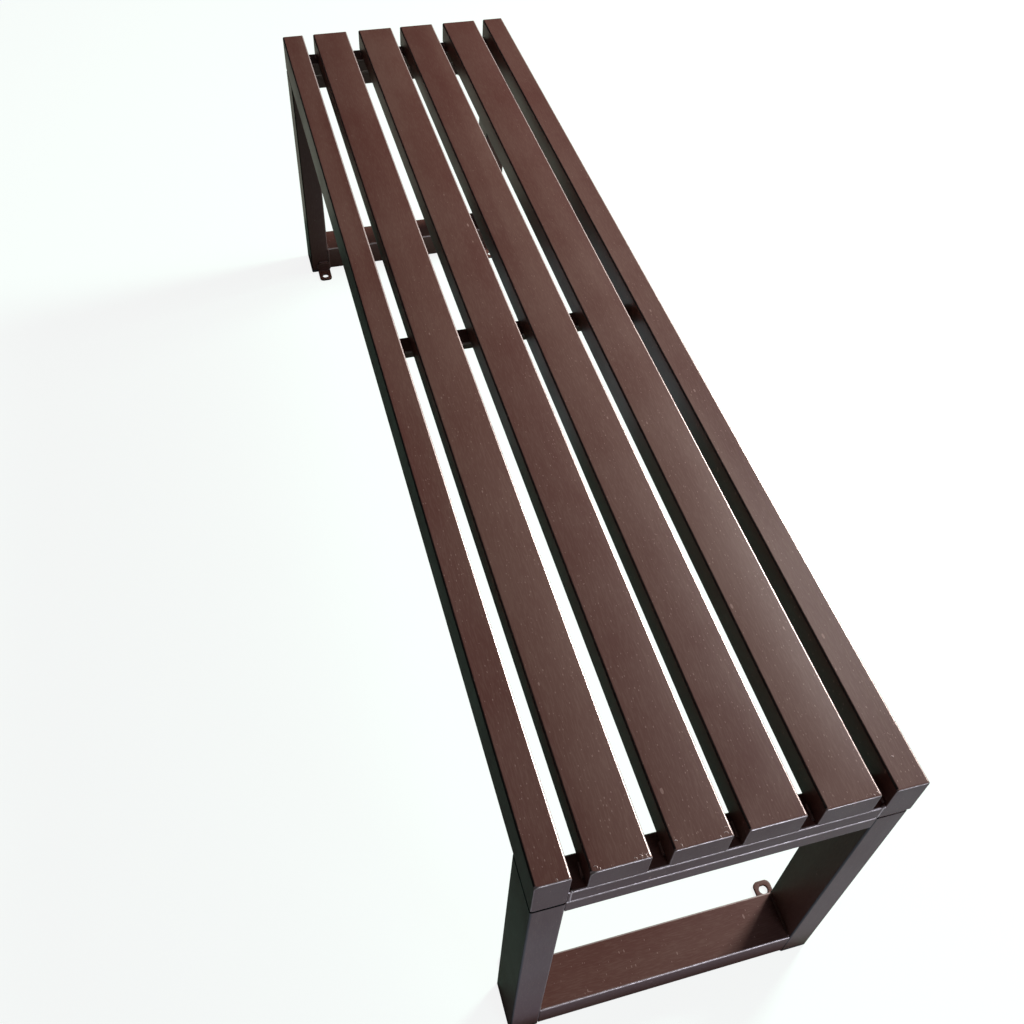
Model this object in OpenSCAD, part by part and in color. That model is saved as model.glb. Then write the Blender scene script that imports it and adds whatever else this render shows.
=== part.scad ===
// Backless slatted bench of painted rectangular steel tube.
// X runs along the bench, Y across it and Z up. The origin is on the floor, in the middle of the bench.
// "Near" is the +X end, "front" is the -Y side. All sizes are in millimetres.

/* [Bench] */
// Length of the seat, from end face to end face
seat_l = 1300; // [900:10:1800]
// Width of the seat, over both side rails
seat_w = 335; // [320:5:420]
// Height of the seat's top above the floor
seat_h = 395; // [340:5:500]

/* [Main tube] */
// Wide side of the tube that makes the rails, slats and legs
tube_w = 50; // [48:1:54]
// Narrow side of the same tube
tube_t = 30; // [26:1:32]
// Wall of every tube
tube_wall = 1.5; // [1.2:0.1:2.5]
// Outer corner radius of every tube
tube_r = 2; // [1.5:0.1:3]

/* [Cross members] */
// Depth along the bench of the end cross tubes and of the headers
cross_d = 30; // [24:1:40]
// Height of a leg frame's header
header_h = 20; // [16:1:30]
// Height of a leg frame's sill
sill_h = 40; // [30:1:60]
// Depth along the bench of the middle cross tube
mid_d = 25; // [16:1:40]
// Height of the middle cross tube
mid_h = 10; // [8:1:16]

/* [End plates] */
// Thickness of the plates that close the rails, slats and legs
plate_t = 2; // [1:0.5:4]

/* [Leg frames] */
// How far each leg stands in from the rail's outer face, with the leg frame in the middle
leg_inset = 1; // [0:0.5:10]
// How far the leg frames sit off the middle, towards the front
leg_shift = 1; // [0:0.5:4]
// Shadow gap between a leg's top plate and the rail above it
leg_gap = 2.5; // [0.5:0.1:4]

/* [Foot plugs] */
// Height of the flange that the leg stands on
foot_h = 5; // [3:0.5:12]
// Height of the hollow block that fits inside the leg
plug_h = 15; // [8:1:30]
// Wall of that block
plug_wall = 2; // [1.5:0.1:3]
// Clearance between the block and the leg's inner wall, on each side
plug_fit = 0.1; // [0.05:0.05:0.3]

/* [Floor lugs] */
// Width of a lug
lug_w = 20; // [18:1:26]
// Length of the lug's tab along the floor, from the leg's face
lug_l = 26; // [24:1:40]
// Height of the lug's upright flange
lug_h = 20; // [12:1:40]
// Thickness of the lug
lug_t = 3; // [2:0.5:5]
// Corner radius of the lug's free ends
lug_r = 6; // [2:0.5:8]
// Diameter of the anchor hole
lug_hole_d = 10; // [6:0.5:12]
// Distance from the tab's tip to the hole's centre
lug_hole_in = 10; // [9:0.5:12]

/* [Frame bolts] */
// Thread diameter of the bolts between a leg frame and the seat
bolt_d = 8; // [6:1:10]
// Distance between the two bolts of one leg frame
bolt_span = 200; // [120:5:220]
// Thickness of a washer
washer_t = 1.6; // [1:0.1:3]
// Length of thread that stands out past the nut
bolt_tip = 3; // [1:0.5:4]
// Extra diameter of a bolt's clearance hole
bolt_play = 1; // [0.5:0.1:2]

/* [Hidden] */

// Colours of the paint, the moulded feet and the plated fasteners
paint = "#5a4542";
foot_black = "#26252a";
zinc = "#a9a9a4";

// Facets of every round edge and hole
curve_fn = 32;
$fn = curve_fn;

// The two ends and the two sides of the bench
near = 1;
far = -1;
front = -1;
rear = 1;

// The slats were set out by eye, so each gap has its own share of the free width, from front to rear
gap_shares = [0.196, 0.237, 0.174, 0.214, 0.179];

// Radius inside a tube's corner
inner_r = max(tube_r - tube_wall, tube_wall / 4);

// Heights, from the floor up
seat_z0 = seat_h - tube_w;
slat_z0 = seat_h - tube_t;
cross_h = slat_z0 - seat_z0;
leg_top = seat_z0 - leg_gap;
leg_tube_h = leg_top - plate_t - foot_h;

// Places along the bench
tube_run = seat_l - 2 * plate_t;
plate_x = seat_l / 2 - plate_t / 2;
cross_x = seat_l / 2 - cross_d / 2;
leg_x = seat_l / 2 - tube_w / 2;
leg_face_x = seat_l / 2 - tube_w;
mid_x = mid_d / 2;

// Places across the bench. Those of the leg frames are measured from the frames' own middle
rail_y = seat_w / 2 - tube_t / 2;
rail_face_y = seat_w / 2 - tube_t;
frame_y = front * leg_shift;
leg_y = rail_y - leg_inset;
leg_face_y = leg_y - tube_t / 2;
lug_y = leg_face_y + lug_w / 2;

// Free width between the rails, and each slat's centre from the gaps before it
slat_count = len(gap_shares) - 1;
free_w = 2 * rail_face_y - slat_count * tube_w;
function share_sum(n) = n < 0 ? 0 : gap_shares[n] + share_sum(n - 1);
function slat_y(i) = -rail_face_y + free_w * share_sum(i) + tube_w * (i + 1 / 2);

// Fastener sizes that follow the thread: across flats, head, nut and washer
hex_share = 1.625;
head_share = 0.66;
nut_share = 0.81;
washer_share = 2;
bore_share = 1.025;
hex_r = bolt_d * hex_share / sqrt(3);
head_h = bolt_d * head_share;
nut_h = bolt_d * nut_share;
washer_z0 = seat_z0 - header_h - washer_t;
nut_z0 = seat_z0 + tube_wall;
bolt_top = nut_z0 + nut_h + bolt_tip;

// Overrun of a cut past the face that it opens
cut = 1;

// Outline of a rectangle with round corners, centred
module round_rect(a, b, r) {
    square([a - 2 * r, b], center = true);
    square([a, b - 2 * r], center = true);
    for (x = [-1, 1], y = [-1, 1])
        translate([x * (a / 2 - r), y * (b / 2 - r)]) circle(r);
}

// Section of a tube, centred
module tube_section(a, b) {
    difference() {
        round_rect(a, b, tube_r);
        round_rect(a - 2 * tube_wall, b - 2 * tube_wall, inner_r);
    }
}

// Lays an extrusion of the given length along X or along Y, centred, with its section's height along Z
module along_x(run) {
    translate([-run / 2, 0, 0]) rotate([90, 0, 90]) linear_extrude(run) children();
}
module along_y(run) {
    translate([0, run / 2, 0]) rotate([90, 0, 0]) linear_extrude(run) children();
}

// Does the same thing at each of the four bolts
module at_bolts(ends = [near, far]) {
    for (end = ends, side = [front, rear])
        translate([end * cross_x, side * bolt_span / 2, 0]) children();
}

module side_rail(side) {
    color(paint) translate([0, side * rail_y, seat_z0 + tube_w / 2])
        along_x(tube_run) tube_section(tube_t, tube_w);
}

module slat(i) {
    color(paint) translate([0, slat_y(i), slat_z0 + tube_t / 2])
        along_x(tube_run) tube_section(tube_w, tube_t);
}

// The end cross tube carries the slats' ends and holds the weld nuts on its lower wall
module end_tube(end) {
    color(paint) difference() {
        translate([end * cross_x, 0, seat_z0 + cross_h / 2])
            along_y(2 * rail_face_y) tube_section(cross_d, cross_h);
        at_bolts([end]) translate([0, 0, seat_z0 - cut])
            cylinder(h = tube_wall + 2 * cut, d = bolt_d + bolt_play);
    }
}

// The middle cross tube was set with its far edge on the middle of the bench
module mid_tube() {
    color(paint) translate([mid_x, 0, slat_z0 - mid_h / 2])
        along_y(2 * rail_face_y) tube_section(mid_d, mid_h);
}

module rail_end_plates() {
    color(paint) for (end = [near, far], side = [front, rear])
        translate([end * plate_x, side * rail_y, seat_z0 + tube_w / 2])
            along_x(plate_t) round_rect(tube_t, tube_w, tube_r);
}

module slat_end_plates() {
    color(paint) for (end = [near, far], i = [0 : slat_count - 1])
        translate([end * plate_x, slat_y(i), slat_z0 + tube_t / 2])
            along_x(plate_t) round_rect(tube_w, tube_t, tube_r);
}

module leg(end, side) {
    color(paint) translate([end * leg_x, frame_y + side * leg_y, foot_h])
        linear_extrude(leg_tube_h) tube_section(tube_w, tube_t);
}

module leg_top_plates() {
    color(paint) for (end = [near, far], side = [front, rear])
        translate([end * leg_x, frame_y + side * leg_y, leg_top - plate_t])
            linear_extrude(plate_t) round_rect(tube_w, tube_t, tube_r);
}

// The header lies under the end cross tube and is drilled right through for the bolts
module header(end) {
    color(paint) difference() {
        translate([end * cross_x, frame_y, seat_z0 - header_h / 2])
            along_y(2 * leg_face_y) tube_section(cross_d, header_h);
        at_bolts([end]) translate([0, 0, seat_z0 - header_h - cut])
            cylinder(h = header_h + 2 * cut, d = bolt_d + bolt_play);
    }
}

module sill(end) {
    color(paint) translate([end * leg_x, frame_y, foot_h + sill_h / 2])
        along_y(2 * leg_face_y) tube_section(tube_w, sill_h);
}

// A flange under the leg and a hollow block inside it
module foot(end, side) {
    plug_a = tube_w - 2 * (tube_wall + plug_fit);
    plug_b = tube_t - 2 * (tube_wall + plug_fit);
    color(foot_black) translate([end * leg_x, frame_y + side * leg_y, 0]) {
        linear_extrude(foot_h) round_rect(tube_w, tube_t, tube_r);
        translate([0, 0, foot_h]) linear_extrude(plug_h) difference() {
            round_rect(plug_a, plug_b, inner_r);
            square([plug_a - 2 * plug_wall, plug_b - 2 * plug_wall], center = true);
        }
    }
}

// A bent strip: an upright flange on the leg's inner face and a drilled tab on the floor
module lug(end, side) {
    hole_x = lug_hole_in - lug_l;
    turn = end == near ? 0 : 180;
    color(paint) translate([end * leg_face_x, frame_y + side * lug_y, 0]) rotate([0, 0, turn]) {
        difference() {
            linear_extrude(lug_t) lug_outline(lug_l);
            translate([hole_x, 0, -cut]) cylinder(h = lug_t + 2 * cut, d = lug_hole_d);
        }
        rotate([0, 90, 0]) translate([0, 0, -lug_t])
            linear_extrude(lug_t) lug_outline(lug_h);
    }
}

// Outline of one leaf of a lug, from the bend at x = 0 to a tip with round corners at -run
module lug_outline(run) {
    translate([-run + lug_r, -lug_w / 2]) square([run - lug_r, lug_w]);
    translate([-run, lug_r - lug_w / 2]) square([run, lug_w - 2 * lug_r]);
    for (y = [-1, 1])
        translate([-run + lug_r, y * (lug_w / 2 - lug_r)]) circle(lug_r);
}

module frame_bolts() {
    color(zinc) at_bolts() {
        translate([0, 0, washer_z0 - head_h]) cylinder(h = head_h, r = hex_r, $fn = 6);
        translate([0, 0, washer_z0 - head_h]) cylinder(h = bolt_top - washer_z0 + head_h, d = bolt_d);
    }
}

module bolt_washers() {
    color(zinc) at_bolts() translate([0, 0, washer_z0]) difference() {
        cylinder(h = washer_t, d = bolt_d * washer_share);
        translate([0, 0, -cut]) cylinder(h = washer_t + 2 * cut, d = bolt_d + bolt_play / 2);
    }
}

module weld_nuts() {
    color(zinc) at_bolts() translate([0, 0, nut_z0]) difference() {
        cylinder(h = nut_h, r = hex_r, $fn = 6);
        translate([0, 0, -cut]) cylinder(h = nut_h + 2 * cut, d = bolt_d * bore_share);
    }
}

side_rail(front);  // front_rail
side_rail(rear);  // rear_rail
slat(0);  // slat_1
slat(1);  // slat_2
slat(2);  // slat_3
slat(3);  // slat_4
end_tube(near);  // end_tube_near
end_tube(far);  // end_tube_far
mid_tube();
rail_end_plates();
slat_end_plates();
leg(near, front);  // leg_near_front
leg(near, rear);  // leg_near_rear
leg(far, front);  // leg_far_front
leg(far, rear);  // leg_far_rear
header(near);  // header_near
header(far);  // header_far
sill(near);  // sill_near
sill(far);  // sill_far
leg_top_plates();
foot(near, front);  // foot_near_front
foot(near, rear);  // foot_near_rear
foot(far, front);  // foot_far_front
foot(far, rear);  // foot_far_rear
lug(near, front);  // lug_near_front
lug(near, rear);  // lug_near_rear
lug(far, front);  // lug_far_front
lug(far, rear);  // lug_far_rear
frame_bolts();
bolt_washers();
weld_nuts();
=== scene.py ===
import math

import bmesh
import bpy
import numpy as np
from mathutils import Matrix, Vector


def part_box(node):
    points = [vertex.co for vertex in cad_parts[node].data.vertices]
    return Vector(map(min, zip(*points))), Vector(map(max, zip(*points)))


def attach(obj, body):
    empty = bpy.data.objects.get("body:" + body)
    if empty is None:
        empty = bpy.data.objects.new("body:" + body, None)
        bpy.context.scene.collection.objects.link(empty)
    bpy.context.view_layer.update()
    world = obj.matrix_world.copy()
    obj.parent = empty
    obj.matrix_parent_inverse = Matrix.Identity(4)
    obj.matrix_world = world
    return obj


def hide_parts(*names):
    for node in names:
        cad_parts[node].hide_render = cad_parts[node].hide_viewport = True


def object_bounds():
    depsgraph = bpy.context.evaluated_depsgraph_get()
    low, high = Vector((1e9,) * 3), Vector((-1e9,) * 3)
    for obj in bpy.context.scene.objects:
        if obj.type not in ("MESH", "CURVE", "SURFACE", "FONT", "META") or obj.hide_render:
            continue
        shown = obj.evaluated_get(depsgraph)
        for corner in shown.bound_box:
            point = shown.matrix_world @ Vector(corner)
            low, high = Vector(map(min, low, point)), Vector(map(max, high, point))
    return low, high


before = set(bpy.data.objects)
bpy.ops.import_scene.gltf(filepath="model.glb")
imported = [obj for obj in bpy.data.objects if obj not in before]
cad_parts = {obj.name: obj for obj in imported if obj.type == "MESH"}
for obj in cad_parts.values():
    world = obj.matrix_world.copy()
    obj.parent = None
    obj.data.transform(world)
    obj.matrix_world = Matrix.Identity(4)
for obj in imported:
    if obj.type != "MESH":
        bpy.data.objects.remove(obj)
cad_low, cad_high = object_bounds()

# The bench is brown painted steel tube. X runs along it, Y across it and Z up; all lengths are in metres.
MM = 0.001
X, Y, Z = 0, 1, 2
ENDS = {"near": 1, "far": -1}
SIDES = ("front", "rear")

# The tubes that run along the bench and across it
RAILS = ("front_rail", "rear_rail")
SLATS = ("slat_1", "slat_2", "slat_3", "slat_4")
CROSS_TUBES = ("end_tube_near", "end_tube_far", "mid_tube", "header_near", "header_far", "sill_near",
               "sill_far")

# Seeds of the random draws
END_PLATE_SEED, LEG_TOP_SEED = 15, 41
SEAT_WELD_SEED, LEG_WELD_SEED = 7, 11

# A tube's wall and corner radius, the flat band beside each corner, the grid's steps round a corner and rows
# along a tube, the angle from which an edge stays sharp, and how fast the wear rises from an arc's ends
TUBE_WALL = 1.5 * MM
TUBE_R = 2 * MM
FLAT_BAND = 0.5 * MM
ARC_STEPS = 6
TUBE_ROWS = 9
SHARP_ANGLE = math.radians(50)
WEAR_POWER = 0.6

# How round the plates are ground on the tubes' ends and on the legs' tops, how much of that varies round the
# rim, the share worn pale on the rim's upright sides, which is partly a painted highlight, the flat band
# inside the rounding, and the grid's rows over the rounding
CAP_ROUND = 1.1 * MM
LEG_TOP_ROUND = 0.3 * MM
UNEVEN_SHARE = 0.35
SIDE_WORN = 0.3
FACE_BAND = 0.3 * MM
PLATE_ROWS = 6

# How far a slat's top is bowed across, the length over which the bow fades out at both ends, and the grid's
# steps across a flat and along the fade
SLAT_BOW = 0.7 * MM
BOW_FADE = 30 * MM
BOW_STEPS = 8
FADE_STEPS = 5

# Corner radii of the two near end plates whose corners were ground away more than the others', anticlockwise
# from the upper +Y corner
HAND_GROUND = {
    "slat_1": (2 * MM, 5.5 * MM, 2 * MM, 2 * MM),
    "front_rail": (2 * MM, 4 * MM, 2.5 * MM, 4 * MM),
}

# Lug sizes: sheet, corner radius, bend radius, hole radius, the hole's distance from the tip, how far from
# the leg's face the tab's grid starts, and how soft the edges are
LUG_SHEET = 3 * MM
LUG_CORNER = 6 * MM
LUG_BEND = 3.5 * MM
LUG_HOLE = 5 * MM
LUG_HOLE_IN = 10 * MM
TAB_START = -8 * MM
LUG_EDGE = 0.4 * MM

# Camera: where it stands, what it looks at, how far it is rolled, and its picture
EYE = Vector((0.9195, -0.3007, 1.1965))
AIM = Vector((0.2769, -0.0737, 0.395))
ROLL = math.radians(4.53)
SENSOR = 36
LENS = 38.16
SHIFT = (-0.0048, -0.0186)


# Surfaces

def outline(width, height, radius):
    """Round-cornered rectangle, as points and outward normals, anticlockwise.
    Each corner is an arc about its own centre, with one radius for all or one for each corner. One more point
    lies on the flat beside each end of the arc, so that the flats between the arcs shade flat."""
    radius = np.broadcast_to(radius, 4)[:, None, None]
    turn = np.radians(np.concatenate([[0], np.linspace(0, 90, ARC_STEPS + 1), [90]]))
    slide = np.concatenate([[-1], np.zeros(ARC_STEPS + 1), [1]]) * FLAT_BAND
    quarter = np.arange(4)[:, None] * np.pi / 2
    angle = quarter + turn
    normal = np.stack([np.cos(angle), np.sin(angle)], -1)
    tangent = np.stack([-np.sin(angle), np.cos(angle)], -1)
    corner = np.sign(np.stack([np.cos(quarter + np.pi / 4), np.sin(quarter + np.pi / 4)], -1))
    centre = corner * (np.array([width, height]) / 2 - radius)
    points = centre + radius * normal + slide[:, None] * tangent
    return points.reshape(-1, 2), normal.reshape(-1, 2)


def outline_rim(corners=(1, 1, 1, 1)):
    """How far each point of an outline is on a rounded corner: 0 on the flats, and in the middle of an arc
    the corner's own value, where 1 is worn through to the primer, which is partly a painted highlight, and -1
    is painted shade."""
    turn = np.concatenate([[0], np.linspace(0, np.pi / 2, ARC_STEPS + 1), [0]])
    return np.repeat(corners, len(turn)) * np.tile(np.abs(np.sin(2 * turn)) ** WEAR_POWER, 4)


def loop(axis, centre, along, width, height, radius, inset=0.0):
    """An outline set square to the axis at one place along it, drawn in along its normals by the inset.
    The place and the inset may differ from point to point."""
    points, normals = outline(width, height, radius)
    points = points - np.reshape(inset, (-1, 1)) * normals
    ring = np.empty((len(points), 3))
    ring[:, axis] = along
    ring[:, (axis + 1) % 3] = centre[(axis + 1) % 3] + points[:, 0]
    ring[:, (axis + 2) % 3] = centre[(axis + 2) % 3] + points[:, 1]
    return ring


def grid_faces(rows, columns, close_rows, close_columns):
    """The four-sided faces between the neighbouring points of a grid."""
    r = np.arange(rows if close_rows else rows - 1)[:, None]
    c = np.arange(columns if close_columns else columns - 1)[None, :]
    below, right = (r + 1) % rows, (c + 1) % columns
    faces = [r * columns + c, r * columns + right, below * columns + right, below * columns + c]
    return np.stack(np.broadcast_arrays(*faces), -1).reshape(-1, 4)


class Surface:
    """Gathers grids of points into one mesh, with a rim value at each point for the wear on its edges, which
    is partly a painted highlight, and for painted shade.
    """

    def __init__(self):
        self.points, self.rims, self.faces, self.count = [], [], [], 0

    def add(self, grid, rim=0.0, close_rows=False, close_columns=True, caps=False):
        """Adds a grid (rows, columns, 3). Its rows run round the shape, and caps close the first and the last
        row. The rim is one value, or one for each point."""
        rows, columns = grid.shape[:2]
        faces = grid_faces(rows, columns, close_rows, close_columns) + self.count
        self.faces.extend(faces.tolist())
        if caps:
            ring = np.arange(columns) + self.count
            self.faces.append(ring[::-1].tolist())
            self.faces.append((ring + (rows - 1) * columns).tolist())
        self.points.append(grid.reshape(-1, 3))
        self.rims.append(np.broadcast_to(rim, (rows, columns)).reshape(-1))
        self.count += rows * columns

    def piece(self, name, material, slot, *nodes):
        """Makes the mesh an object that rides on the bench and stands for the nodes it replaces."""
        mesh = bpy.data.meshes.new(name)
        mesh.from_pydata(np.concatenate(self.points).tolist(), [], self.faces)
        rim = mesh.attributes.new("rim", "FLOAT", "POINT")
        rim.data.foreach_set("value", np.concatenate(self.rims).astype(np.float32))
        mesh.shade_smooth()
        mesh.set_sharp_from_angle(angle=SHARP_ANGLE)
        return place(bpy.data.objects.new(name, mesh), material, slot, *nodes)


def place(piece, material, slot, *nodes):
    """Puts a finished object in the scene, on the bench's one body, in place of the nodes."""
    bpy.context.scene.collection.objects.link(piece)
    piece.data.materials.append(material)
    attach(piece, "root")
    if nodes:
        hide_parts(*nodes)
    return piece


def corners_of(node):
    """Lowest and highest corner of a node's box as arrays."""
    low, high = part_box(node)
    return np.array(low), np.array(high)


def middle(node):
    """Centre and size of a node's box."""
    low, high = corners_of(node)
    return (low + high) / 2, high - low


# Tubes and the plates that close them

# Corners of a tube along each axis: 1 is worn pale, partly a painted highlight, and -1 is painted shade, on
# the corners that face the front side (-Y), away from the lamps
TUBE_CORNER_WEAR_AND_SHADE = {X: (1, -1, -1, 1), Y: (1, 1, 1, 1), Z: (1, 1, -1, -1)}


def tube(node, axis, material, bow=0.0):
    """A hollow tube: the outline goes along the outside, in over the wall's end, back inside and out again.
    A bowed one has its rows near its ends, where the bow fades."""
    centre, size = middle(node)
    width, height = size[(axis + 1) % 3], size[(axis + 2) % 3]
    low, high = centre[axis] - size[axis] / 2, centre[axis] + size[axis] / 2
    fade = np.linspace(0, BOW_FADE, FADE_STEPS)
    places = np.concatenate([low + fade, high - fade[::-1]]) if bow else np.linspace(low, high, TUBE_ROWS)
    outside = [loop(axis, centre, a, width, height, TUBE_R) for a in places]
    inside = [loop(axis, centre, a, width, height, TUBE_R, TUBE_WALL) for a in (high, low)]
    grid = np.stack(outside + inside)
    shown = np.concatenate([np.ones(len(outside)), np.zeros(len(inside))])
    # Pale worn corners, partly a painted highlight, and painted shade, on the outside rows only
    rim = shown[:, None] * outline_rim(TUBE_CORNER_WEAR_AND_SHADE[axis])
    if bow:
        grid, rim = bowed(grid, rim, centre, size, bow)
    shape = Surface()
    shape.add(grid, rim, close_rows=True)
    shape.piece(node + "_tube", material, "painted_steel", node)


def bowed(grid, rim, centre, size, bow):
    """Bows the top of a tube along X. More columns go across its flats, and each point of the upper half
    sinks by the bow times the square of its distance from the middle line, in half widths. Towards both ends
    the bow fades out on a smooth step, so that the end plates fit. Gives back the grid and its rim values."""
    corner = grid.shape[1] // 4
    share = np.linspace(0, 1, BOW_STEPS + 1)[1:-1, None]
    parts, rims = [], []
    for first in range(0, grid.shape[1], corner):
        here, there = grid[:, first + corner - 1, None], grid[:, (first + corner) % grid.shape[1], None]
        parts += [grid[:, first:first + corner], here + share * (there - here)]
        rims += [rim[:, first:first + corner], np.zeros((len(grid), len(share)))]
    grid = np.concatenate(parts, 1)
    across = (grid[..., Y] - centre[Y]) / (size[Y] / 2)
    upper = np.clip((grid[..., Z] - centre[Z]) / (size[Z] / 2), 0, 1)
    fade = np.clip((size[X] / 2 - np.abs(grid[..., X] - centre[X])) / BOW_FADE, 0, 1)
    grid[..., Z] -= bow * fade**2 * (3 - 2 * fade) * across**2 * upper
    return grid, np.concatenate(rims, 1)


def unevenness(count, rng):
    """A slow wave round an outline, about -1 to 1: three sines with chance heights and phases."""
    around = np.linspace(0, 2 * np.pi, count, endpoint=False)[:, None]
    waves = np.arange(1, 4)
    return (np.sin(waves * around + rng.uniform(0, 2 * np.pi, 3)) * rng.uniform(0.2, 0.5, 3)).sum(1)


def plate(shape, axis, centre, size, outward, rng, corner_r=TUBE_R, ground_r=CAP_ROUND, worn=SIDE_WORN):
    """A closed plate whose outer face is ground round at its rim, where the outline draws in along a quarter
    circle. The circle's radius varies slowly round the rim, as hand grinding leaves it, and over the rounding
    and the face the corners have radii of their own. The rim is worn pale fully where it faces up or down,
    and by the share worn on its upright sides; this wear is partly a painted highlight. With no wear the
    face, the rounding and the front side are painted shade."""
    width, height = size[(axis + 1) % 3], size[(axis + 2) % 3]
    face = centre[axis] + outward * size[axis] / 2
    back = centre[axis] - outward * size[axis] / 2
    rounding = ground_r * (1 + UNEVEN_SHARE * unevenness(len(outline_rim()), rng))
    upward = outline(width, height, TUBE_R)[1][:, 1]
    corners = worn * outline_rim()
    level = worn + (1 - worn) * np.abs(upward)
    # Share of painted shade on an unworn plate, on the side that faces down its second axis: the front side
    # (-Y) of a leg's top
    painted_shade = np.clip(-upward, 0, 1)
    rows, rims = [loop(axis, centre, back, width, height, TUBE_R)], [corners if worn else -painted_shade]
    for turn in np.linspace(0, np.pi / 2, PLATE_ROWS):
        depth = rounding * (1 - np.sin(turn))
        inset = rounding * (1 - np.cos(turn))
        rows.append(loop(axis, centre, face - outward * depth, width, height, corner_r, inset))
        rubbed = np.maximum(np.sin(2 * turn) * level, corners * np.cos(turn))
        rims.append(rubbed if worn else -np.maximum(painted_shade, np.sin(turn)))
    # An unworn plate's face is painted shade all over
    rows.append(loop(axis, centre, face, width, height, corner_r, rounding + FACE_BAND))
    rims.append(np.full(len(corners), 0.0 if worn else -1.0))
    rows, rims = rows[::int(outward)], rims[::int(outward)]
    shape.add(np.stack(rows), np.stack(rims), caps=True)


def seat_end_plates(rail_material):
    """The plates on both ends of every rail and slat."""
    thickness = cad_high.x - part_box("front_rail")[1].x
    for name, tubes in (("rail_end_plates", RAILS), ("slat_end_plates", SLATS)):
        shape = Surface()
        rng = np.random.default_rng(END_PLATE_SEED)
        for node in tubes:
            centre, size = middle(node)
            for end in ENDS.values():
                at = centre + np.array([end * (size[X] + thickness) / 2, 0, 0])
                ground = HAND_GROUND.get(node, TUBE_R) if end == ENDS["near"] else TUBE_R
                plate(shape, X, at, np.array([thickness, size[Y], size[Z]]), end, rng, ground)
        shape.piece(name + "_ground", rail_material, "painted_steel", name)


def leg_top_plates(leg_material):
    """The plates on top of the four legs. They have no wear, so their faces, rims and front sides are painted
    shade, dark as the shaded seam under the rails.
    """
    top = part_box("leg_top_plates")[1].z
    shape = Surface()
    rng = np.random.default_rng(LEG_TOP_SEED)
    for end in ENDS:
        for side in SIDES:
            centre, size = middle(f"leg_{end}_{side}")
            leg_top = centre[Z] + size[Z] / 2
            thickness = top - leg_top
            at = np.array([centre[X], centre[Y], (top + leg_top) / 2])
            plate_size = np.array([size[X], size[Y], thickness])
            # No wear: painted shade on the plate
            plate(shape, Z, at, plate_size, 1, rng, ground_r=LEG_TOP_ROUND, worn=0)
    shape.piece("leg_top_plates_ground", leg_material, "painted_steel", "leg_top_plates")


# Weld beads

# How far apart a bead's rows are and how far chance moves them, the points round its section, and how worn it
# is. Its ripples, swelling, roughness and wandering are shares of its radius, and two lengths say how slowly
# it swells and wanders.
BEAD_ROW = 0.55 * MM
BEAD_CHANCE = 0.1 * MM
BEAD_POINTS = 12
BEAD_WORN = 0.35
RIPPLE = 0.16
SWELL = 0.10
ROUGH = 0.05
WANDER = 0.12
SWELL_LENGTH = 7 * MM
WANDER_LENGTH = 5 * MM


def bead(shape, start, end, radius, rng, rim=BEAD_WORN):
    """A weld bead from start to end: a round section whose radius ripples like overlapping coins.
    The radius also swells slowly, the centre line wanders a little and both ends are round."""
    start, end = np.array(start, float), np.array(end, float)
    length = np.linalg.norm(end - start)
    ahead = (end - start) / length
    sideways = np.cross(ahead, [0.3, 0.5, 0.8])
    sideways /= np.linalg.norm(sideways)
    upward = np.cross(ahead, sideways)
    rows = max(8, int(length / BEAD_ROW))
    along = length * (1 - np.cos(np.linspace(0, np.pi, rows))) / 2
    along[1:-1] += BEAD_CHANCE * rng.uniform(-1, 1, rows - 2)
    pitch = radius * rng.uniform(0.8, 1.1)
    coin = 1 - RIPPLE * ((along / pitch + rng.uniform()) % 1) ** 2
    slow = 1 + SWELL * np.sin(along / SWELL_LENGTH + rng.uniform(0, 6)) + ROUGH * rng.uniform(-1, 1, rows)
    to_end = np.minimum(along, length - along)
    rounding = np.sqrt(np.clip(1 - np.clip(1 - to_end / radius, 0, 1) ** 2, 0.004, 1))
    size = radius * coin * slow * rounding
    wander = WANDER * radius * np.sin(along[:, None] / WANDER_LENGTH + rng.uniform(0, 6, 2))
    line = start + along[:, None] * ahead + wander[:, :1] * sideways + wander[:, 1:] * upward
    angle = np.linspace(0, 2 * np.pi, BEAD_POINTS, endpoint=False)
    ring = np.cos(angle)[:, None] * sideways + np.sin(angle)[:, None] * upward
    grid = line[:, None, :] + size[:, None, None] * ring[None]
    shape.add(grid, rim=rim, caps=True)


def straight_bead(shape, axis, at, start, stop, radius, rng, rim=BEAD_WORN):
    """A bead along one axis, from start to stop on the line through a point."""
    ends = np.array([at, at], float)
    ends[:, axis] = start, stop
    bead(shape, *ends, radius, rng, rim)


def outer_and_inner(low, high, end):
    """Where a cross tube's face towards the bench's end is, and its face towards the middle."""
    return (high[X], low[X]) if end > 0 else (low[X], high[X])


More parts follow.
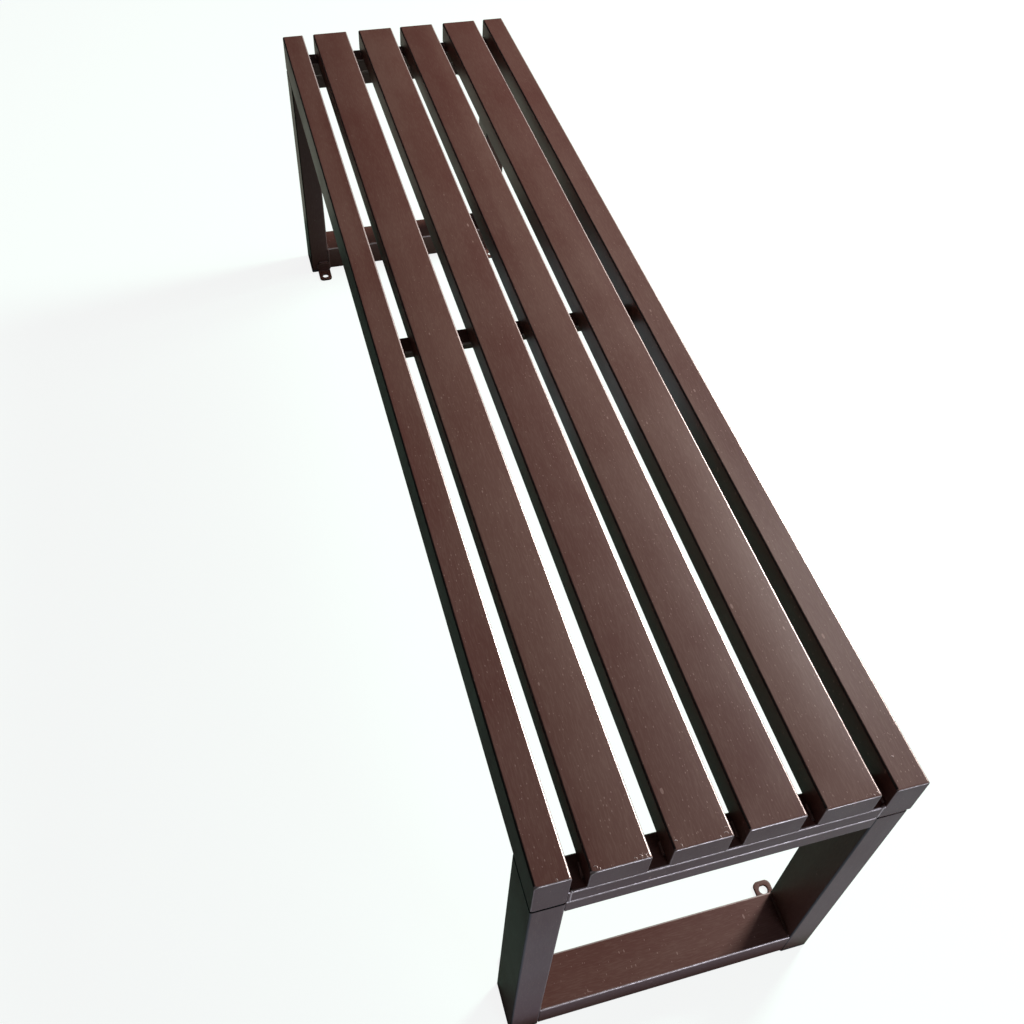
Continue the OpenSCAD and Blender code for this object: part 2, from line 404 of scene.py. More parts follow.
def seat_welds(material):
    """Beads of the seat frame: the cross tubes to the rails, and the slats on the cross tubes. At each end
    of an end tube, a dark upright bead lies in the corner with a worn thin one and a worn blob."""
    shape = Surface()
    rng = np.random.default_rng(SEAT_WELD_SEED)
    for name, end in ENDS.items():
        low, high = corners_of("end_tube_" + name)
        outer, inner = outer_and_inner(low, high, end)
        for y, inward in ((low[Y], 1), (high[Y], -1)):
            dark = (outer - end * 3.0 * MM, y + inward * 0.8 * MM, 0)
            straight_bead(shape, Z, dark, low[Z] + 2 * MM, high[Z] + 1 * MM, 2.1 * MM, rng, 0)
            thin = (outer - end * 0.7 * MM, y + inward * 2.4 * MM, 0)
            straight_bead(shape, Z, thin, low[Z] + 1 * MM, high[Z] + 0.5 * MM, 1.1 * MM, rng, 1)
            blob_start = (outer - end * 1.1 * MM, y + inward * 0.8 * MM, high[Z])
            blob_stop = (outer - end * 1.1 * MM, y + inward * 4.6 * MM, high[Z] + 0.3 * MM)
            bead(shape, blob_start, blob_stop, 1.8 * MM, rng, 1)
            straight_bead(shape, Z, (inner, y, 0), low[Z] + 2 * MM, high[Z], 2.2 * MM, rng)
            start, stop = outer - end * 4 * MM, inner + end * 3 * MM
            straight_bead(shape, X, (0, y, high[Z]), start, stop, 1.8 * MM, rng)
        for slat in SLATS:
            slat_low, slat_high = corners_of(slat)
            for y in (slat_low[Y], slat_high[Y]):
                reach = rng.uniform(10, 16) * MM
                start = outer - end * rng.uniform(5, 9) * MM
                straight_bead(shape, X, (0, y, high[Z]), start, start - end * reach, 1.7 * MM, rng)
    low, high = corners_of("mid_tube")
    for y in (low[Y], high[Y]):
        for x in (low[X], high[X]):
            straight_bead(shape, Z, (x, y, 0), low[Z] + 1 * MM, high[Z], 1.6 * MM, rng)
    for slat in SLATS:
        left, right = (corner[Y] for corner in corners_of(slat))
        straight_bead(shape, Y, (high[X], 0, high[Z]), left + 1 * MM, left + 8 * MM, 1.5 * MM, rng)
        straight_bead(shape, Y, (low[X], 0, high[Z]), right - 9 * MM, right - 1 * MM, 1.5 * MM, rng)
    shape.piece("weld_beads_seat", material, "painted_steel")


def leg_frame_welds(name, material):
    """Beads of one leg frame: header and sill to both legs, and the lugs to the legs. On the near rear leg
    one more bead fills most of the seam under the rail."""
    end = ENDS[name]
    shape = Surface()
    rng = np.random.default_rng(LEG_WELD_SEED + end)
    for member, radius in (("header_", 1.5 * MM), ("sill_", 1.9 * MM)):
        low, high = corners_of(member + name)
        outer, inner = outer_and_inner(low, high, end)
        for y, inward in ((low[Y], 1), (high[Y], -1)):
            front = (outer - end * radius * 1.25, y + inward * 0.3 * MM, 0)
            straight_bead(shape, Z, front, low[Z] + 2 * MM, high[Z] - 1 * MM, radius, rng)
            straight_bead(shape, Z, (inner, y, 0), low[Z] + 2 * MM, high[Z] - 1 * MM, radius, rng)
            start, stop = outer - end * 2 * MM, inner + end * 2 * MM
            straight_bead(shape, X, (0, y, high[Z]), start, stop, radius * 0.9, rng)
            straight_bead(shape, X, (0, y, low[Z]), start, stop, radius * 0.8, rng)
    if name == "near":
        low, high = corners_of("leg_near_rear")
        top, rail_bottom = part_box("leg_top_plates")[1].z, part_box("rear_rail")[0].z
        seam = (high[X] - 1.7 * MM, 0, (top + rail_bottom) / 2)
        straight_bead(shape, Y, seam, low[Y] + 2 * MM, high[Y] - 2 * MM, 1.42 * MM, rng, 0)
    for side in SIDES:
        low, high = corners_of(f"lug_{name}_{side}")
        face = low[X] if end < 0 else high[X]
        straight_bead(shape, Y, (face, 0, high[Z]), low[Y] + 2 * MM, high[Y] - 2 * MM, 1.6 * MM, rng)
        for y in (low[Y], high[Y]):
            straight_bead(shape, Z, (face, y, 0), low[Z] + 4 * MM, high[Z] - 3 * MM, 1.5 * MM, rng)
    shape.piece("weld_beads_leg_" + name, material, "painted_steel")


# Curls of lifted paint at the near end, by slat or rail: distance from its +Y side, distance from the bench's
# end and radius in millimetres, and the angles in degrees where the curl starts and stops
PAINT_CURLS = {
    "slat_1": (
        (9.5, 2.9, 1.9, 20, 200), (6.0, 2.7, 1.7, 10, 190), (13.5, 2.2, 1.3, 30, 260),
        (2.6, 2.6, 1.7, 150, 350), (45.5, 3.4, 1.9, 40, 230), (42.8, 2.2, 1.2, 0, 170)),
    "slat_2": (
        (6.0, 2.9, 1.8, 60, 260), (3.2, 4.0, 1.6, 20, 180), (4.4, 7.2, 1.4, 80, 250),
        (9.8, 2.2, 1.2, 200, 360), (44.5, 2.9, 1.9, 30, 170), (46.5, 7.0, 1.5, 90, 230)),
    "slat_4": ((4.0, 2.7, 1.7, 30, 200), (7.5, 2.1, 1.2, 10, 180)),
    "front_rail": ((12.0, 2.2, 1.2, 20, 200),),
    "rear_rail": ((20.0, 28.0, 1.5, 60, 230),),
}
CURL_THICKNESS = 0.4 * MM
CURL_DEPTH = 0.22 * MM
CURL_WORN = 0.55


def paint_curls(material):
    """Thin curled ridges: a round section is carried along an arc that lies on the top, thinner towards
    both ends, and more than half sunk in the paint."""
    shape = Surface()
    along = np.linspace(0, 1, 14)
    around = np.linspace(0, 2 * np.pi, 8, endpoint=False)
    thickness = CURL_THICKNESS * np.sqrt(np.clip(1 - (2 * along - 1) ** 2, 0.02, 1))[:, None]
    for node, curls in PAINT_CURLS.items():
        high = corners_of(node)[1]
        for from_side, from_end, radius, start, stop in curls:
            angle = np.radians(start + (stop - start) * along)[:, None]
            reach = radius * MM + thickness * np.cos(around)
            grid = np.stack([cad_high.x - from_end * MM + reach * np.cos(angle),
                             high[Y] - from_side * MM + reach * np.sin(angle),
                             high[Z] - CURL_DEPTH + thickness * np.sin(around) + 0 * angle], -1)
            shape.add(grid[::-1], rim=CURL_WORN, caps=True)
    shape.piece("paint_curls", material, "painted_steel")


# Feet, lugs and fasteners

# A foot's flange, as heights above the floor and how far its outline is drawn in there, in millimetres; then
# how far in its top edge is, the block's play inside the leg, its wall, the bevel on its top edge, and the
# corner radius of its hollow
FOOT_PROFILE = ((0, 1.0), (0.25, 0.45), (0.8, 0.12), (1.6, 0), (3.6, 0), (4.5, 0.12), (4.9, 0.4))
FOOT_TOP_IN = 0.8 * MM
FOOT_PLAY = 0.1 * MM
FOOT_WALL = 2 * MM
FOOT_BEVEL_HEIGHT, FOOT_BEVEL_IN = 1 * MM, 0.3 * MM
FOOT_HOLLOW_R = 1 * MM


def foot(end, side, material):
    """A moulded plug: a flange with soft edges under the leg, and a hollow block that fits inside it."""
    node = f"foot_{end}_{side}"
    centre, size = middle(node)
    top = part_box(node)[1].z
    flange_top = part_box(f"leg_{end}_{side}")[0].z
    block = TUBE_WALL + FOOT_PLAY
    steps = [(z * MM, inset * MM) for z, inset in FOOT_PROFILE]
    steps += [(flange_top, FOOT_TOP_IN), (flange_top, block)]
    steps += [(top - FOOT_BEVEL_HEIGHT, block), (top, block + FOOT_BEVEL_IN)]
    rings = [loop(Z, centre, z, size[X], size[Y], TUBE_R, inset) for z, inset in steps]
    inner = size - 2 * (block + FOOT_WALL)
    rings += [loop(Z, centre, z, inner[X], inner[Y], FOOT_HOLLOW_R) for z in (top, flange_top)]
    shape = Surface()
    shape.add(np.stack(rings), caps=True)
    shape.piece(node + "_plug", material, "foot_plastic", node)


def lug(end, side, material):
    """A bent strip with round corners: a drilled tab on the floor, a bend, and an upright flange on the leg.
    The tab is a ring of grid lines from the hole's circle out to its outline, and the rest is a grid whose
    rows follow the bend. The sheet runs through the middle of the metal and is thickened both ways."""
    node = f"lug_{end}_{side}"
    low, high = corners_of(node)
    length, width, rise = high - low
    half_width = width / 2
    corner = LUG_CORNER
    hole_x = LUG_HOLE_IN - length
    arc = np.radians(np.linspace(0, 90, 6))
    across = half_width - corner + corner * np.sin(arc)
    across = np.concatenate([-across[::-1], np.linspace(-1, 1, 5)[1:-1] * across[0], across])
    past_corner = np.clip(np.abs(across) - half_width + corner, 0, None)
    drop = corner - np.sqrt(np.clip(corner**2 - past_corner**2, 0, None))

    # Outline of the tab, anticlockwise from the bend's side, and the hole's circle seen at the same angles
    straight = np.stack([np.full(len(across), TAB_START), across], -1)
    side_x = np.linspace(TAB_START, corner - length, 7)[1:-1]
    upper = np.stack([side_x, np.full(len(side_x), half_width)], -1)
    turn = np.radians(np.linspace(90, 180, 7))
    tip = np.stack([corner - length + corner * np.cos(turn), half_width - corner + corner * np.sin(turn)], -1)
    tip_mirror = tip[::-1] * (1, -1)
    lower = upper[::-1] * (1, -1)
    rim = np.concatenate([straight, upper, tip, tip_mirror, lower])
    to_rim = rim - (hole_x, 0)
    circle = LUG_HOLE * to_rim / np.linalg.norm(to_rim, axis=1, keepdims=True)
    share = np.array([0, 0.3, 0.65, 1])[:, None, None]
    tab = (1 - share) * circle + share * to_rim + (hole_x, 0)
    half_sheet = LUG_SHEET / 2
    tab = np.concatenate([tab, np.full(tab.shape[:2] + (1,), half_sheet)], -1)

    # Rows from the tab round the bend and up to the flange's rounded top
    angle = np.linspace(0, np.pi / 2, 7)
    path_x = np.concatenate([[TAB_START], -half_sheet - LUG_BEND + LUG_BEND * np.sin(angle)])
    path_z = np.concatenate([[half_sheet], half_sheet + LUG_BEND - LUG_BEND * np.cos(angle)])
    strip = np.stack(np.broadcast_arrays(path_x[:, None], across, path_z[:, None]), -1)
    climb = np.linspace(0, 1, 5)[1:, None]
    upright = np.broadcast_to(strip[-1], (len(climb), len(across), 3)).copy()
    upright[..., Z] += climb * (rise - drop - path_z[-1])
    strip = np.concatenate([strip, upright])

    # The sheet's coordinates run from the leg's face, so they turn about it for the far legs
    direction = ENDS[end]
    face = np.array([high[X] if direction > 0 else low[X], (low[Y] + high[Y]) / 2, low[Z]])
    turned = np.array([direction, direction, 1])
    shape = Surface()
    shape.add(tab * turned + face)
    shape.add(strip * turned + face, close_columns=False)
    piece = shape.piece(node + "_strip", material, "painted_steel", node)
    weld_doubles(piece.data)
    solid = piece.modifiers.new("thickness", "SOLIDIFY")
    solid.thickness = LUG_SHEET
    solid.offset = 0
    edges = piece.modifiers.new("edges", "BEVEL")
    edges.width = LUG_EDGE
    edges.segments = 2
    edges.limit_method = "ANGLE"


def weld_doubles(mesh):
    """Joins points that lie on each other and turns the faces the same way."""
    work = bmesh.new()
    work.from_mesh(mesh)
    bmesh.ops.remove_doubles(work, verts=work.verts, dist=0.01 * MM)
    bmesh.ops.recalc_face_normals(work, faces=work.faces)
    work.to_mesh(mesh)
    work.free()


def turned_grid(at, radii, heights):
    """Loops round an upright axis: radii are (rows, angles) and heights (rows,) or (rows, angles)."""
    columns = radii.shape[1]
    angle = np.linspace(0, 2 * np.pi, columns, endpoint=False)
    heights = np.broadcast_to(np.reshape(heights, (len(radii), -1)), radii.shape)
    return np.stack([at[X] + radii * np.cos(angle), at[Y] + radii * np.sin(angle), at[Z] + heights], -1)


def four_axes(node, inset_x, inset_y):
    """Where the upright axes of four equal parts stand, one in each corner of their node's box."""
    low, high = corners_of(node)
    across = (low[Y] + inset_y, high[Y] - inset_y)
    return [(x, y) for x in (low[X] + inset_x, high[X] - inset_x) for y in across]


# Bolt sizes: the thread's radius, pitch and depth, half the width across the flats, the crown's share of
# that, the crown's edge and the points round the head; then the washer's radii, how soft its outer edges are
# and the points round it
THREAD_R, THREAD_PITCH, THREAD_DEPTH = 4 * MM, 1.25 * MM, 0.55 * MM
BOLT_FLAT = 6.5 * MM
CROWN_SHARE = 0.94
CROWN_EDGE = 0.4 * MM
HEAD_POINTS = 48
WASHER_R, WASHER_BORE, WASHER_EDGE = 8 * MM, 4.25 * MM, 0.25 * MM
WASHER_POINTS = 40


def frame_bolts(material):
    """Four hexagon bolts: the head is a hexagon cut by a cone of 30 degrees, and the thread's radius follows
    a helix, so its height on the shank steps by one pitch for each turn. The shank's lower half is plain."""
    low, high = corners_of("frame_bolts")
    washer_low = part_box("bolt_washers")[0].z
    angle = np.linspace(0, 2 * np.pi, HEAD_POINTS, endpoint=False)
    hexagon = BOLT_FLAT / np.cos((angle + np.pi / 6) % (np.pi / 3) - np.pi / 6)
    crown = np.full(len(angle), CROWN_SHARE * BOLT_FLAT)
    chamfer = np.clip(hexagon - crown, 0, None) * np.tan(np.radians(30))
    base, head = 0 * angle, 0 * angle + (washer_low - low[Z])
    head_radii = np.stack([crown - CROWN_EDGE, crown, hexagon, hexagon, crown])
    head_heights = np.stack([base, base, chamfer, head, head])
    shank = high[Z] - washer_low
    rows = np.arange(0, shank, THREAD_PITCH / 6)[:, None]
    turns = rows / THREAD_PITCH - angle[::2] / (2 * np.pi)
    tooth = np.abs(2 * (turns % 1) - 1)
    shank_radii = THREAD_R - THREAD_DEPTH * tooth * (rows > shank / 2)
    shape = Surface()
    for x, y in four_axes("frame_bolts", hexagon.max(), BOLT_FLAT):
        shape.add(turned_grid((x, y, low[Z]), head_radii, head_heights), caps=True)
        shape.add(turned_grid((x, y, washer_low), shank_radii, rows), caps=True)
    shape.piece("frame_bolts_threaded", material, "zinc_steel", "frame_bolts")


def bolt_washers(material):
    """Four washers: a rectangular section with soft outer corners turned about the bolt's axis."""
    low, high = corners_of("bolt_washers")
    thickness = high[Z] - low[Z]
    soft_r = WASHER_R - WASHER_EDGE
    radii = np.array([WASHER_BORE, soft_r, WASHER_R, WASHER_R, soft_r, WASHER_BORE])
    heights = np.array([0, 0, WASHER_EDGE, thickness - WASHER_EDGE, thickness, thickness])
    shape = Surface()
    for x, y in four_axes("bolt_washers", WASHER_R, WASHER_R):
        grid = turned_grid((x, y, low[Z]), np.repeat(radii[:, None], WASHER_POINTS, 1), heights)
        shape.add(grid, close_rows=True)
    shape.piece("bolt_washers_turned", material, "zinc_steel", "bolt_washers")


# Materials

class Nodes:
    """Short ways to add and join the nodes of one tree."""

    def __init__(self, tree):
        self.tree = tree

    def add(self, kind, settings=None, **inputs):
        """Adds a node, sets its properties, and sets or joins its inputs."""
        node = self.tree.nodes.new(kind)
        for name, value in (settings or {}).items():
            setattr(node, name, value)
        self.fill(node, **inputs)
        return node

    def fill(self, node, **inputs):
        """Sets or joins a node's inputs, by name, or by number as i0, i1 and so on."""
        for name, value in inputs.items():
            socket = node.inputs[int(name[1:]) if name[1:].isdigit() else name.replace("_", " ")]
            if isinstance(value, bpy.types.NodeSocket):
                self.tree.links.new(value, socket)
            else:
                socket.default_value = value

    def math(self, operation, a, b=0.0, c=0.0, clamp=False):
        """One step of arithmetic with up to three values."""
        settings = {"operation": operation, "use_clamp": clamp}
        return self.add("ShaderNodeMath", settings, i0=a, i1=b, i2=c).outputs[0]

    def spread(self, value, low, high, new_low=0.0, new_high=1.0):
        """Maps a value's range to another, clamped and smooth."""
        settings = {"interpolation_type": "SMOOTHSTEP"}
        node = self.add("ShaderNodeMapRange", settings, i0=value, i1=low, i2=high, i3=new_low, i4=new_high)
        return node.outputs[0]

    def mix(self, share, a, b):
        """Mixes two colours."""
        node = self.add("ShaderNodeMix", {"data_type": "RGBA"}, i0=share, i6=a, i7=b)
        return node.outputs[2]

    def noise(self, vector, scale, detail=2.0, roughness=0.5):
        """A noise's value at a place."""
        inputs = {"Vector": vector, "Scale": scale, "Detail": detail, "Roughness": roughness}
        return self.add("ShaderNodeTexNoise", **inputs).outputs["Fac"]

    def stretched(self, vector, scale):
        """Scales a vector by three numbers."""
        return self.add("ShaderNodeVectorMath", {"operation": "MULTIPLY"}, i0=vector, i1=scale).outputs[0]

    def bump(self, strength, distance, height):
        """The normal of a surface with a height."""
        return self.add("ShaderNodeBump", Strength=strength, Distance=distance, Height=height).outputs[0]


def new_group(name, inputs, outputs):
    """An empty node group, as (tree, nodes, inputs). An input with one number is a value, one with three is a
    vector and one with four is a colour. The outputs are names and kinds."""
    tree = bpy.data.node_groups.new(name, "ShaderNodeTree")
    for title, value in inputs.items():
        kind = {1: "Float", 3: "Vector", 4: "Color"}[np.size(value)]
        socket = tree.interface.new_socket(title, in_out="INPUT", socket_type="NodeSocket" + kind)
        socket.default_value = value
    for title, kind in outputs.items():
        tree.interface.new_socket(title, in_out="OUTPUT", socket_type="NodeSocket" + kind)
    nodes = Nodes(tree)
    return tree, nodes, nodes.add("NodeGroupInput").outputs


def flecks_group():
    """Node group: pale flecks of dust and pinholes, denser where its density is higher.
    Each cell of a cell pattern holds one round fleck of chance size, and most cells hold none."""
    inputs = {"Place": (0, 0, 0), "Cells per metre": 220, "Density": 0.5}
    tree, nodes, given = new_group("flecks", inputs, {"Mask": "Float"})
    cell = nodes.add("ShaderNodeTexVoronoi", Vector=given["Place"], Scale=given["Cells per metre"])
    chance = nodes.add("ShaderNodeSeparateColor", Color=cell.outputs["Color"]).outputs
    present = nodes.math("GREATER_THAN", given["Density"], chance[0])
    size = nodes.math("MULTIPLY_ADD", chance[1], 0.1, 0.09)
    inside = nodes.math("LESS_THAN", cell.outputs["Distance"], size)
    nodes.add("NodeGroupOutput", Mask=nodes.math("MULTIPLY", present, inside))
    return tree


def scratches_group():
    """Node group: short fine scratches, where a noise drawn out one way crosses one level inside rare
    patches."""
    tree, nodes, given = new_group("fine scratches", {"Place": (0, 0, 0), "Amount": 0.5}, {"Mask": "Float"})
    drawn = nodes.stretched(given["Place"], (1, 0.35, 1))
    level = nodes.math("ABSOLUTE", nodes.math("SUBTRACT", nodes.noise(drawn, 150, 0.5), 0.5))
    hair = nodes.math("LESS_THAN", level, 0.012)
    limit = nodes.spread(given["Amount"], 0, 1, 0.85, 0.62)
    patch = nodes.math("GREATER_THAN", nodes.noise(given["Place"], 75, 1.0), limit)
    nodes.add("NodeGroupOutput", Mask=nodes.math("MULTIPLY", hair, patch))
    return tree


# Colours of the paint: new, faded, worn thin at the rims, which is partly a painted highlight, in its specks,
# and painted shade. Then the primer's colour in a chip, and how far the bands and the grain are drawn out
# along the tube.
PAINT_COLORS = {
    "Paint": (0.094, 0.031, 0.024, 1),
    "Faded": (0.140, 0.070, 0.054, 1),
    "Worn": (0.82, 0.68, 0.65, 1),
    "Speck": (0.42, 0.27, 0.23, 1),
    "Grime": (0.008, 0.006, 0.006, 1),
}
PRIMER = (0.5, 0.4, 0.36, 1)
BAND_STRETCH = 0.06
GRAIN_STRETCH = 0.12

# How fine the paint's noises are, and the cells per metre of the small and the large specks
CLOUD_SCALE, BAND_SCALE, GRAIN_SCALE = 9, 24, 850
DENT_SCALE, RUB_SCALE, CHIP_SCALE, PEEL_SCALE = 30, 160, 330, 480
SMALL_CELLS, LARGE_CELLS = 450, 150

# How strongly the marks show, how far from the middle the chips at the bench's ends begin and are full, and
# the roughness of new paint
MARK_SHARE = 0.4
CHIPS_FROM, CHIPS_FULL = 0.636, 0.648
PAINT_ROUGHNESS = 0.38

# Moulded plastic and zinc, clean and scuffed or tarnished
PLASTIC, SCUFFED = (0.018, 0.018, 0.022, 1), (0.06, 0.06, 0.065, 1)
ZINC, TARNISHED = (0.5, 0.5, 0.48, 1), (0.3, 0.29, 0.26, 1)


def paint_group(flecks, scratches):
    """Node group: satin brown paint on steel tube, with slow changes of tone, bands and a fine grain drawn
    out along the tube, specks, scratches, rims worn near the steel that are partly a painted highlight, and
    painted shade. It puts out the colour, how metallic it is, the roughness and a height."""
    inputs = {"Place": (0, 0, 0), "Band stretch": (1, 1, 1), "Grain stretch": (1, 1, 1), **PAINT_COLORS,
              "Rim": 0, "Specks": 0.5, "Scratches": 0.2, "Rim wear": 0.4}
    outputs = {"Color": "Color", "Metallic": "Float", "Roughness": "Float", "Height": "Float"}
    tree, nodes, given = new_group("brown paint", inputs, outputs)
    place = given["Place"]

    # Tone: slow clouds, wide bands and a fine grain, the last two drawn out along the tube
    clouds = nodes.spread(nodes.noise(place, CLOUD_SCALE, 3.0), 0.3, 0.72)
    band_place = nodes.stretched(place, given["Band stretch"])
    bands = nodes.spread(nodes.noise(band_place, BAND_SCALE), 0.34, 0.68)
    grain = nodes.noise(nodes.stretched(place, given["Grain stretch"]), GRAIN_SCALE, 3.0, 0.6)
    faded = nodes.math("ADD", nodes.math("MULTIPLY", clouds, 0.3), nodes.math("MULTIPLY", bands, 0.5))
    streak = nodes.math("MULTIPLY", nodes.spread(grain, 0.42, 0.7), 0.45)
    color = nodes.mix(nodes.math("ADD", faded, streak, clamp=True), given["Paint"], given["Faded"])

    # Specks: there are more of them nearer the near end
    along = nodes.add("ShaderNodeSeparateXYZ", Vector=place).outputs["X"]
    density = nodes.math("MULTIPLY", given["Specks"], nodes.spread(along, -0.5, 0.65, 0.15, 1.0))
    speck_place = nodes.stretched(place, (0.4, 1, 0.3))
    specks = []
    for cells, share in ((SMALL_CELLS, density), (LARGE_CELLS, nodes.math("MULTIPLY", density, 0.1))):
        inputs = {"Place": speck_place, "Cells per metre": cells, "Density": share}
        specks.append(nodes.add("ShaderNodeGroup", {"node_tree": flecks}, **inputs).outputs[0])
    hairs = nodes.add("ShaderNodeGroup", {"node_tree": scratches}, Place=place, Amount=given["Scratches"])
    marks = nodes.math("MAXIMUM", specks[0], nodes.math("MAXIMUM", specks[1], hairs.outputs[0]))
    color = nodes.mix(nodes.math("MULTIPLY", marks, MARK_SHARE), color, given["Speck"])

    # Rims: the paint is thin and pale along the edges, which is partly a painted highlight, chipped in small
    # spots at the bench's ends, and painted shade where the rim's value is below 0
    rub = nodes.spread(nodes.noise(place, RUB_SCALE, 3.0), 0.42, 0.62, 0.75, 1.0)
    # The pale worn rim, partly a painted highlight, also makes the paint metallic there
    thin = nodes.math("MULTIPLY", given["Rim"], nodes.math("MULTIPLY", rub, given["Rim wear"]), clamp=True)
    at_end = nodes.spread(nodes.math("ABSOLUTE", along), CHIPS_FROM, CHIPS_FULL)
    chip = nodes.spread(nodes.noise(place, CHIP_SCALE), 0.66, 0.7)
    gone = nodes.math("MULTIPLY", nodes.math("MULTIPLY", chip, at_end), given["Rim"], clamp=True)
    color = nodes.mix(thin, color, given["Worn"])
    color = nodes.mix(gone, color, PRIMER)
    painted_shade = nodes.math("MULTIPLY", given["Rim"], -1.0, clamp=True)
    color = nodes.mix(painted_shade, color, given["Grime"])

    # Surface: orange peel, wide shallow dents and the marks give the height. Faded clouds and marks are
    # rougher, and worn rims smoother.
    peel = nodes.noise(place, PEEL_SCALE)
    dents = nodes.noise(place, DENT_SCALE)
    height = nodes.math("MULTIPLY_ADD", dents, 3.0, peel)
    height = nodes.math("ADD", height, nodes.math("MULTIPLY", marks, 0.5))
    rough = nodes.math("MULTIPLY_ADD", clouds, 0.08, PAINT_ROUGHNESS)
    rough = nodes.math("ADD", rough, nodes.math("MULTIPLY", marks, 0.15))
    rough = nodes.math("SUBTRACT", rough, nodes.math("MULTIPLY", thin, 0.12))
    nodes.add("NodeGroupOutput", Color=color, Metallic=thin, Roughness=rough, Height=height)
    return tree


def new_material(name):
    """An empty node material with its output, as (material, nodes, shader)."""
    material = bpy.data.materials.new(name)
    material.use_nodes = True
    tree = material.node_tree
    tree.nodes.clear()
    nodes = Nodes(tree)
    shader = nodes.add("ShaderNodeBsdfPrincipled")
    nodes.add("ShaderNodeOutputMaterial", Surface=shader.outputs[0])
    return material, nodes, shader


def paint(name, group, along, specks=0.6, scratches=0.1, rim_wear=0.95):
    """Brown paint whose bands and grain run along one axis."""
    material, nodes, shader = new_material(name)
    place = nodes.add("ShaderNodeTexCoord").outputs["Object"]
    rim = nodes.add("ShaderNodeAttribute", {"attribute_name": "rim"}).outputs["Fac"]
    # How far the rims take the pale worn colour, which is partly a painted highlight
    settings = {"Specks": specks, "Scratches": scratches, "Rim wear": rim_wear}
    coat = nodes.add("ShaderNodeGroup", {"node_tree": group}, Place=place, Rim=rim, **settings)
    coat.inputs["Band stretch"].default_value[along] = BAND_STRETCH
    coat.inputs["Grain stretch"].default_value[along] = GRAIN_STRETCH
    out = coat.outputs
    nodes.fill(shader, Base_Color=out["Color"], Metallic=out["Metallic"], Roughness=out["Roughness"],
               Normal=nodes.bump(0.1, 0.1 * MM, out["Height"]), Specular_IOR_Level=0.3)
    return material


def foot_plastic():
    """Black moulded plastic with a fine grain and grey scuffs."""
    material, nodes, shader = new_material("foot plastic")
    place = nodes.add("ShaderNodeTexCoord").outputs["Object"]
    scuff = nodes.spread(nodes.noise(place, 90, 4.0, 0.6), 0.5, 0.75)
    grain = nodes.noise(place, 2200, 1.0)
    color = nodes.mix(scuff, PLASTIC, SCUFFED)
    rough = nodes.spread(scuff, 0, 1, 0.5, 0.72)
    nodes.fill(shader, Base_Color=color, Roughness=rough, Normal=nodes.bump(0.2, 0.1 * MM, grain))
    return material


def zinc_plate():
    """Zinc plated steel: grey metal with cloudy tarnish."""
    material, nodes, shader = new_material("zinc plated steel")
    place = nodes.add("ShaderNodeTexCoord").outputs["Object"]
    tarnish = nodes.spread(nodes.noise(place, 300, 3.0), 0.35, 0.7)
    color = nodes.mix(tarnish, ZINC, TARNISHED)
    rough = nodes.spread(tarnish, 0, 1, 0.32, 0.55)
    normal = nodes.bump(0.1, 0.05 * MM, tarnish)
    nodes.fill(shader, Base_Color=color, Roughness=rough, Normal=normal, Metallic=1)
    return material


# Build

brown = paint_group(flecks_group(), scratches_group())
paint_long = paint("brown paint, streaks along", brown, X)
paint_cross = paint("brown paint, streaks across", brown, Y, specks=0.25, scratches=0.5, rim_wear=0.7)
paint_upright = paint("brown paint, streaks upright", brown, Z, specks=0.1, scratches=0.05, rim_wear=0.2)
plastic = foot_plastic()
zinc = zinc_plate()

for node in RAILS:
    tube(node, X, paint_long)
for node in SLATS:
    tube(node, X, paint_long, SLAT_BOW)
for node in CROSS_TUBES:
    tube(node, Y, paint_cross)
for end in ENDS:
    for side in SIDES:
        tube(f"leg_{end}_{side}", Z, paint_upright)
        foot(end, side, plastic)
        lug(end, side, paint_cross)
    leg_frame_welds(end, paint_upright)
seat_end_plates(paint_long)
leg_top_plates(paint_upright)
seat_welds(paint_cross)
paint_curls(paint_long)
frame_bolts(zinc)
bolt_washers(zinc)
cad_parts["weld_nuts"].data.materials.clear()
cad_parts["weld_nuts"].data.materials.append(zinc)


# Studio: the floor's half width and true shade, how pale the background looks, the share of that in mirrored
# rays, and the light from all round
FLOOR_HALF = 6
FLOOR_SHADE = (0.095, 0.185, 0.14, 1)
BACKGROUND = 0.88
GLOSSY_SHARE = 0.02
WORLD_LIGHT = 0.045

# Lamps: name, place, the point it faces, width and height, brightness and colour
LAMPS = (
    ("window", (-0.82, 2.13, 1.6), (0.62, 0, 0.05), (0.6, 1.25), 46, (1.0, 1.0, 0.97)),
    ("overhead", (-0.9, 1.4, 2.6), (-0.3, 0, 0.4), (2.8, 1.6), 0.52, (1.0, 1.0, 1.0)),
    ("front", (2.75, 0.75, 0.95), (0.65, 0, 0.38), (0.9, 1.2), 5.7, (0.70, 0.82, 1.0)),
    ("right", (-1.65, 2.1, 1.15), (-1.11, 0.17, 1.15), (4.4, 2.3), 0.5, (1.0, 1.0, 1.0)),
    ("low front", (1.06, 0.0, 0.004), (1.06, 0.0, 1), (0.8, 1.0), 0.44, (0.80, 0.78, 1.0)),
    ("low middle", (-0.33, 0.0, 0.004), (-0.33, 0.0, 1), (0.44, 0.28), 0.42, (0.9, 0.85, 1.0)),
    ("low far", (-1.1, -0.1, 0.004), (-1.1, -0.1, 1), (0.7, 0.9), 0.35, (1.0, 0.85, 0.72)),
)


def seen_as_pale(nodes):
    """1 for camera and see-through rays and a share of it for mirrored rays, else 0, from the light path."""
    path = nodes.add("ShaderNodeLightPath").outputs
    direct = nodes.math("MAXIMUM", path["Is Camera Ray"], path["Is Transmission Ray"])
    return nodes.math("MAXIMUM", direct, nodes.math("MULTIPLY", path["Is Glossy Ray"], GLOSSY_SHARE))


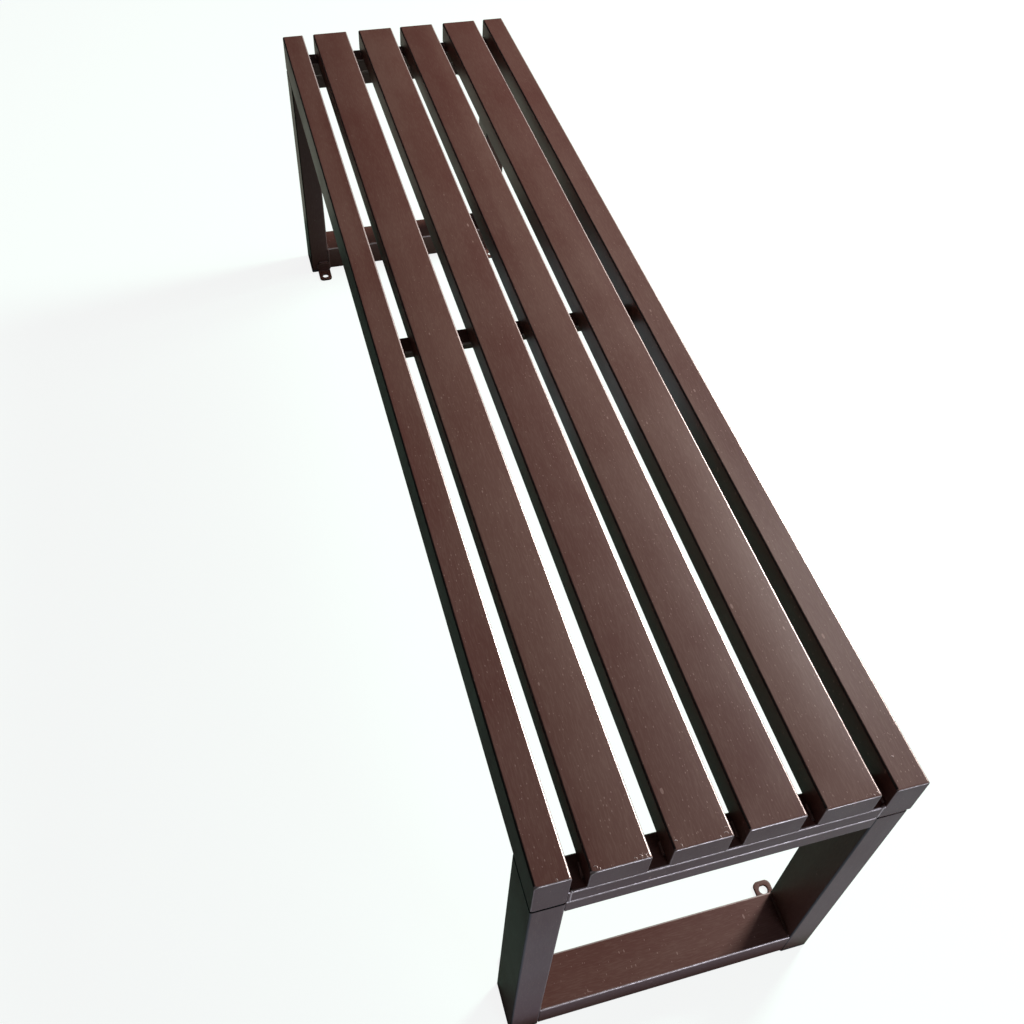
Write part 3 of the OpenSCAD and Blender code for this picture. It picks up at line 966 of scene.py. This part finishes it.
def studio_floor():
    """A plain pale floor: it takes the object's shadow, and its paleness is added where it is looked at."""
    half = FLOOR_HALF
    corners = [(-half, -half, 0), (half, -half, 0), (half, half, 0), (-half, half, 0)]
    mesh = bpy.data.meshes.new("floor")
    mesh.from_pydata(corners, [], [(0, 1, 2, 3)])
    floor = bpy.data.objects.new("floor", mesh)
    bpy.context.scene.collection.objects.link(floor)
    material, nodes, shader = new_material("pale floor")
    strength = nodes.math("MULTIPLY", seen_as_pale(nodes), BACKGROUND)
    nodes.fill(shader, Base_Color=FLOOR_SHADE, Roughness=0.9, Emission_Color=(1, 1, 1, 1),
               Emission_Strength=strength)
    mesh.materials.append(material)


def studio_world():
    """Faint light from all round, seen as the same pale tone as the floor."""
    world = bpy.data.worlds.new("studio")
    bpy.context.scene.world = world
    world.use_nodes = True
    nodes = Nodes(world.node_tree)
    background = world.node_tree.nodes["Background"]
    pale = nodes.math("MULTIPLY", seen_as_pale(nodes), BACKGROUND)
    strength = nodes.math("MAXIMUM", pale, WORLD_LIGHT)
    nodes.fill(background, Color=(0.95, 0.98, 1.0, 1), Strength=strength)


def lamp(name, at, aim, size, radiance, color):
    """A soft rectangular lamp that faces a point, with its power worked out from its area and brightness."""
    light = bpy.data.lights.new(name, "AREA")
    light.shape = "RECTANGLE"
    light.size, light.size_y = size
    light.energy = radiance * size[0] * size[1] * math.pi
    light.color = color
    obj = bpy.data.objects.new(name, light)
    obj.location = at
    obj.rotation_euler = (Vector(aim) - Vector(at)).to_track_quat("-Z", "Y").to_euler()
    obj.visible_camera = False
    bpy.context.scene.collection.objects.link(obj)


def camera():
    """The photograph's view: the roll turns the camera about its own line of sight."""
    data = bpy.data.cameras.new("camera")
    data.sensor_width = SENSOR
    data.lens = LENS
    data.shift_x, data.shift_y = SHIFT
    obj = bpy.data.objects.new("camera", data)
    obj.location = EYE
    level = (AIM - EYE).to_track_quat("-Z", "Y")
    obj.rotation_euler = (level.to_matrix() @ Matrix.Rotation(ROLL, 3, "Z")).to_euler()
    bpy.context.scene.collection.objects.link(obj)
    bpy.context.scene.camera = obj


studio_floor()
studio_world()
for settings in LAMPS:
    lamp(*settings)
camera()
bpy.context.scene.view_settings.view_transform = "Standard"
